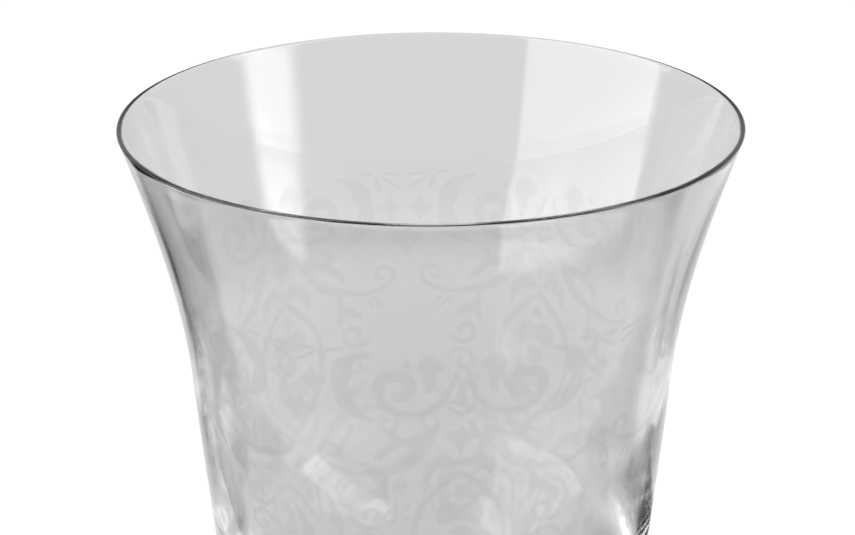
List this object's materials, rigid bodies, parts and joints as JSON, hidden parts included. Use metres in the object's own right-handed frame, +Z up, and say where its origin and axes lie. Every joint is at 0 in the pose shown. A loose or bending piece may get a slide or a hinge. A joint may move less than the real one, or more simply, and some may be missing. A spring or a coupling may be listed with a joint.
{
  "type": "goblet",
  "caption": "Stemmed drinking goblet of clear glass: a flared bell-shaped bowl with an etched scroll ornament, a slender stem to hold it by and a round foot to stand on.",
  "frame": {"origin": "centre of the flat ring that the foot stands on, at table level", "axes": "+Z up along the axis that bowl, stem and foot are turned about; -Y faces the picture's camera, and an ornament axis lies near -Y"},
  "size_m": [0.088, 0.088, 0.18],
  "materials": {
    "etched_glass": "polished clear glass with a matt etched ornament on the outside",
    "clear_glass": "polished clear glass"
  },
  "bodies": {
    "root": {"bowl": "etched_glass", "stem": "clear_glass", "foot": "clear_glass"}
  },
  "joints": []
}
